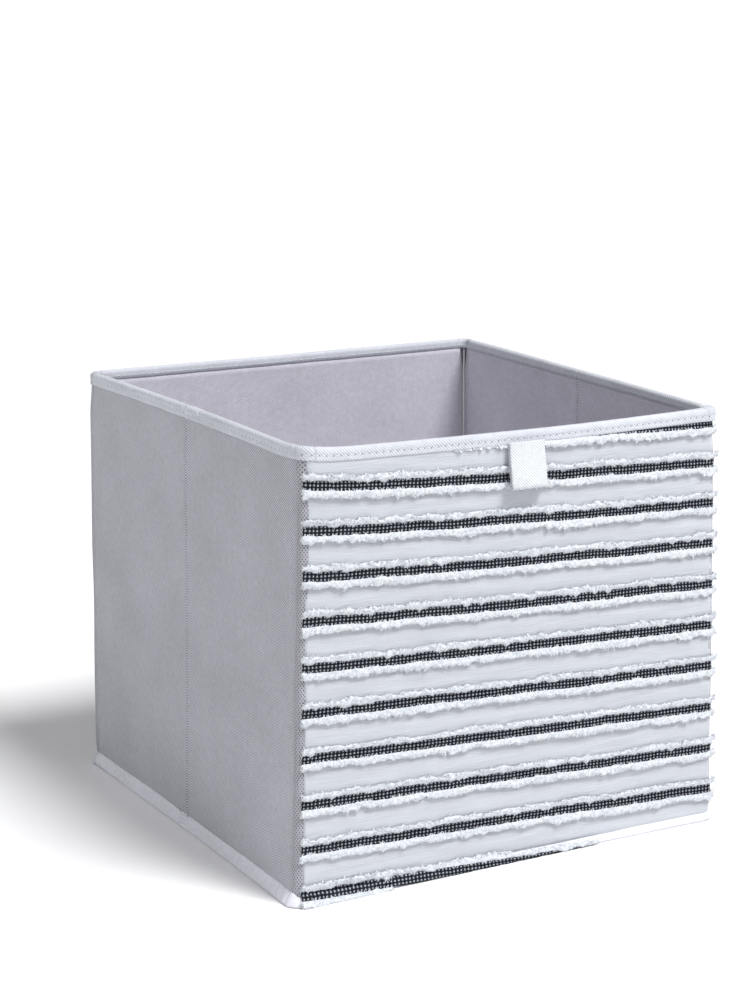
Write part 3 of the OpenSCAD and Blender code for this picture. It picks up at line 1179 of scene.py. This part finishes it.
def addFluff(bm, cut, k, side, low, high):
    # The body of the frayed edge: a puffed band with a ragged outline.
    count = int((high - low) / fringeLook["column"])
    made = bmesh.ops.create_grid(bm, x_segments=count, y_segments=6, size=1)["verts"]
    flat = {point: ((point.co.x + 1) / 2, (point.co.y + 1) / 2) for point in made}
    for face in {f for point in made for f in point.link_faces}:
        for corner in face.loops:
            a, b = flat[corner.vert]
            corner[cut].uv = (low + (high - low) * a, b)
    for point, (a, b) in flat.items():
        s = low + (high - low) * a
        puff = fringeLook["bulge"] * math.sin(math.pi * (0.12 + 0.62 * b))
        puff *= 1 + 0.45 * lumps(s * 200, b * 1.4 + k, side * 3.3, 2)
        puff += 0.22 * mm * lumps(s * 900, b * 5, k * 2.9 + side)
        point.co = fringeSpot(k, side, s, b, ribbonLook["stand"] + 0.25 * mm + puff)


def addLock(bm, cut, root, tip, width, curl, twist):
    # One lock of frayed cotton: a strip that narrows, bows outwards and twists.
    made = bmesh.ops.create_grid(bm, x_segments=1, y_segments=2, size=1)["verts"]
    way = tip - root
    front = Vector((0, -1, 0))
    side = way.cross(front).normalized()
    flat = {point: (point.co.x, (point.co.y + 1) / 2) for point in made}
    for face in {f for point in made for f in point.link_faces}:
        for corner in face.loops:
            corner[cut].uv = (root.x, 0.4 + 0.6 * flat[corner.vert][1])
    for point, (across, t) in flat.items():
        spread = side * math.cos(twist * t) + front * math.sin(twist * t)
        point.co = (root + way * t + spread * across * width * 0.5 * (1 - 0.7 * t * t)
                    + front * curl * math.sin(math.pi * min(1, 0.2 + 0.8 * t)))


def makeFringe(k, low, high):
    dice = random.Random(100 + k)
    bm = bmesh.new()
    cut = bm.loops.layers.uv.new("cut")
    drop = math.sin(ribbonLook["slant"])
    for side in (1, -1):
        first, last = low - 0.5 * mm, high + 4.5 * mm
        reach = side * (ribbonLook["height"] / 2 + fringeLook["over" if side > 0 else "under"])
        start = ribbonStart(k).z
        if side > 0:
            first = max(first, (start + reach - rimEdge + 0.8 * mm) / drop)
        first = max(first, -0.5 * mm)
        last = min(last, ribbonLength + 4.5 * mm)
        if side < 0:
            first = max(-0.5 * mm, (start + reach - rimEdge + 0.3 * mm) / drop)
            last = min(last, (start + reach * 0.6) / drop)
        if last - first < 8 * mm:
            continue
        addFluff(bm, cut, k, side, first, last)
        s = first
        while s < last:
            s += fringeLook["lockStep"] * dice.uniform(0.6, 1.4)
            spread = dice.uniform(0.4, 0.95)
            root = fringeSpot(k, side, s, spread, 1.1 * mm)
            lean = dice.uniform(-1.2, 1.2) * mm
            tip = fringeSpot(k, side, s + lean, spread + dice.uniform(0.12, 0.38),
                             dice.uniform(0.5, 1.9) * mm)
            addLock(bm, cut, root, tip, fringeLook["lockWidth"] * dice.uniform(0.6, 1.3),
                    fringeLook["curl"] * dice.uniform(0.1, 1.0), dice.uniform(-0.9, 0.9))
            if dice.random() < 0.35:
                root = fringeSpot(k, side, s, 0.25, 0.9 * mm)
                tip = fringeSpot(k, side, s + lean * 0.8, -0.05 - dice.uniform(0, 0.2), 0.9 * mm)
                addLock(bm, cut, root, tip, fringeLook["lockWidth"] * dice.uniform(0.5, 1.0),
                        0.2 * mm, dice.uniform(-0.5, 0.5))
        # loose ends that stick out at both ends of the band
        for end, way in ((first, -1), (last, 1)):
            if ribbonLength * 0.05 < end < ribbonLength * 0.97:
                continue
            for i in range(16):
                spread = dice.uniform(0.1, 0.9)
                root = fringeSpot(k, side, end - way * 0.8 * mm, spread, dice.uniform(0.4, 1.4) * mm)
                tip = root + Vector((way * dice.uniform(0.6, 2.2), -dice.uniform(-0.4, 0.8),
                                     dice.uniform(-1.2, 1.0))) * mm
                addLock(bm, cut, root, tip, fringeLook["lockWidth"], 0.3 * mm, dice.uniform(-0.5, 0.5))
    piece = finishMesh(bm, "fringe_%02d" % (k + 1))
    shell = piece.modifiers.new("thickness", "SOLIDIFY")
    shell.thickness = 0.25 * mm
    shell.offset = -1
    dress(piece, "FringeCotton")
    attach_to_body(piece, "front_wall")
    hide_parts("ribbon_fringe")


bandCount = 0
for k in range(-1, 10):
    low, high = ribbonRange(k)
    if high - low < 5 * mm:
        continue
    makeRibbon(k, low, high)
    makeFringe(k, low, high)
    bandCount += 1
print("bands on the front:", bandCount)


tabLook = {
    "layer": 0.9 * mm,
    "tuck": 2.2 * mm,
    "standOff": 3.6 * mm,
    "skew": 1.5 * mm,
    "fold": 1.4 * mm,
    "stitches": 7,
}


def makeTab():
    width = tabHigh.x - tabLow.x
    middle = (tabHigh.x + tabLow.x) / 2
    top = tabHigh.z + tabLook["tuck"]
    length = tabHigh.z - tabLow.z
    leg = length + tabLook["tuck"] - tabLook["fold"]
    girth = 2 * leg + math.pi * tabLook["fold"]

    def place(x, q):
        # q runs down the back layer, round the fold and up the front one
        bow = 0.5 * mm * math.cos(math.pi * (x - middle) / width)
        if q < leg:
            down = q
            out = -tabLook["fold"]
            skew = tabLook["skew"]
        elif q < leg + math.pi * tabLook["fold"]:
            turn = (q - leg) / tabLook["fold"]
            down = leg + tabLook["fold"] * math.sin(turn)
            out = -tabLook["fold"] * math.cos(turn)
            skew = tabLook["skew"] * (1 - turn / math.pi)
        else:
            down = girth - q
            out = tabLook["fold"]
            skew = 0
        share = down / (leg + tabLook["fold"])
        out *= 0.3 + 0.7 * ease(share, 0, 0.8)
        away = tabLook["standOff"] * share ** 1.3 + bow * share + 0.2 * mm * lumps(x * 60, q * 60, 1.3)
        y = (tabLow.y + tabHigh.y) / 2 - out - away
        return settled(Vector((x + skew * share, y, top - down)))

    piece = clothGrid("pull_tab_loop", (20, 64), place, (tabLow.x, tabHigh.x), (0, girth),
                      faceIn=True, thick=tabLook["layer"])
    dress(piece, "TabCloth")
    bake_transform(piece)
    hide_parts("pull_tab")
    spots = []
    for i in range(tabLook["stitches"]):
        x = tabLow.x + width * (i + 0.5) / tabLook["stitches"]
        spots.append((place(x, girth - tabLook["tuck"] - 1.6 * mm) + Vector((0, -0.1 * mm, 0)),
                      Vector((1, 0, 0)), Vector((0, -1, 0))))
    thread = stitches("pull_tab_thread", spots, 2.4 * mm, 0.4 * mm)
    dress(thread, "RimThread")
    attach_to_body(thread, "pull_tab")
    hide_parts("tab_stitches")


makeTab()
print("pull tab sewn on")


insertLook = {"round": 1.3 * mm, "parts": 40, "swell": 0.3 * mm, "flatEdge": 3 * mm}


def makeInsert():
    # Board wrapped in lining cloth, with soft edges and a slightly uneven top.
    size = insertHigh - insertLow
    centre = (insertHigh + insertLow) / 2
    bm = bmesh.new()
    bmesh.ops.create_cube(bm, size=1)
    bmesh.ops.scale(bm, vec=size, verts=bm.verts)
    bmesh.ops.bevel(bm, geom=bm.edges[:], offset=insertLook["round"], segments=3, profile=0.5, affect="EDGES",
                    material=-1)
    for axis, span in ((0, size.x), (1, size.y)):
        way = Vector((1, 0, 0)) if axis == 0 else Vector((0, 1, 0))
        for i in range(1, insertLook["parts"]):
            cutAt = way * (span * (i / insertLook["parts"] - 0.5))
            bmesh.ops.bisect_plane(bm, geom=bm.verts[:] + bm.edges[:] + bm.faces[:],
                                   plane_co=cutAt, plane_no=way)
    cut = bm.loops.layers.uv.new("cut")
    for face in bm.faces:
        for corner in face.loops:
            co = corner.vert.co
            corner[cut].uv = (co.x, co.y + co.z)
    for point in bm.verts:
        flat = min(size.x / 2 - abs(point.co.x), size.y / 2 - abs(point.co.y))
        if point.co.z > 0 and flat > insertLook["flatEdge"]:
            point.co.z += insertLook["swell"] * (0.4 + lumps(point.co.x * 22, point.co.y * 22, 3.9, 2))
        point.co += centre
    piece = finishMesh(bm, "insert_wrapped_cover")
    dress(piece, "InsertCloth")
    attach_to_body(piece, "base_insert")
    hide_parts("insert_cover")


makeInsert()
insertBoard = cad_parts["insert_board"]
insertBoard.data.materials.clear()
insertBoard.data.materials.append(materials["Chipboard"])
print("insert made")


floorSize = 80


def makeFloor():
    bm = bmesh.new()
    bmesh.ops.create_grid(bm, x_segments=1, y_segments=1, size=floorSize)
    floor = finishMesh(bm, "studio_floor", shade=False)
    material, w, surface = startMaterial("StudioFloor", 0.9, specular=0.1)
    place = w.node("ShaderNodeTexCoord")
    grain = w.noise(place.outputs["Object"], 4, 2, 0.5)
    w.link(w.mix(grain, (0.93, 0.93, 0.935, 1), (0.95, 0.95, 0.955, 1)), surface.inputs["Base Color"])
    floor.data.materials.append(material)


studioLook = {
    "keyFrom": Vector((0.45, -0.90, 1.70)),
    "keyPower": 2.9,
    "keySoft": math.radians(20),
    "fillFrom": Vector((-0.90, -0.35, 1.0)),
    "fillPower": 0.80,
    "fillSoft": math.radians(80),
    "panelFrom": Vector((0.20, -0.55, 0.85)),
    "panelSize": 0.5,
    "panelPower": 1.7,
    "sky": 0.20,
}


def makeLamp(name, kind, place, power):
    lamp = bpy.data.lights.new(name, kind)
    lamp.energy = power
    holder = bpy.data.objects.new(name, lamp)
    bpy.context.scene.collection.objects.link(holder)
    holder.location = place
    middle = Vector((0, 0, binTop / 2))
    holder.rotation_euler = (middle - place).to_track_quat("-Z", "Y").to_euler()
    return lamp


def makeLights():
    key = makeLamp("key", "SUN", studioLook["keyFrom"] * 2, studioLook["keyPower"])
    key.angle = studioLook["keySoft"]
    fill = makeLamp("fill", "SUN", studioLook["fillFrom"] * 2, studioLook["fillPower"])
    fill.angle = studioLook["fillSoft"]
    panel = makeLamp("panel", "AREA", studioLook["panelFrom"], studioLook["panelPower"])
    panel.size = studioLook["panelSize"]
    world = bpy.data.worlds.new("studio")
    world.use_nodes = True
    world.node_tree.nodes["Background"].inputs["Color"].default_value = (0.97, 0.98, 1.0, 1)
    world.node_tree.nodes["Background"].inputs["Strength"].default_value = studioLook["sky"]
    bpy.context.scene.world = world
    bpy.context.scene.view_settings.view_transform = "Standard"


cameraLook = {
    "azimuth": -29.68,
    "elevation": 13.05,
    "distance": 1.59341,
    "right": 0.01131,
    "up": -0.06161,
    "lens": 85.81,
    "sensor": 36,
    "sees": 200,
}


def makeCamera():
    turn = math.radians(cameraLook["azimuth"])
    rise = math.radians(cameraLook["elevation"])
    ahead = Vector((-math.sin(turn) * math.cos(rise), math.cos(turn) * math.cos(rise), -math.sin(rise)))
    right = ahead.cross(Vector((0, 0, 1))).normalized()
    up = right.cross(ahead)
    data = bpy.data.cameras.new("camera")
    data.lens = cameraLook["lens"]
    data.sensor_width = cameraLook["sensor"]
    data.clip_end = cameraLook["sees"]
    camera = bpy.data.objects.new("camera", data)
    bpy.context.scene.collection.objects.link(camera)
    middle = Vector((0, 0, binTop / 2))
    camera.location = (middle - ahead * cameraLook["distance"] - right * cameraLook["right"]
                       - up * cameraLook["up"])
    camera.rotation_euler = ahead.to_track_quat("-Z", "Y").to_euler()
    bpy.context.scene.camera = camera


makeFloor()
makeLights()
makeCamera()

print("scene ready")
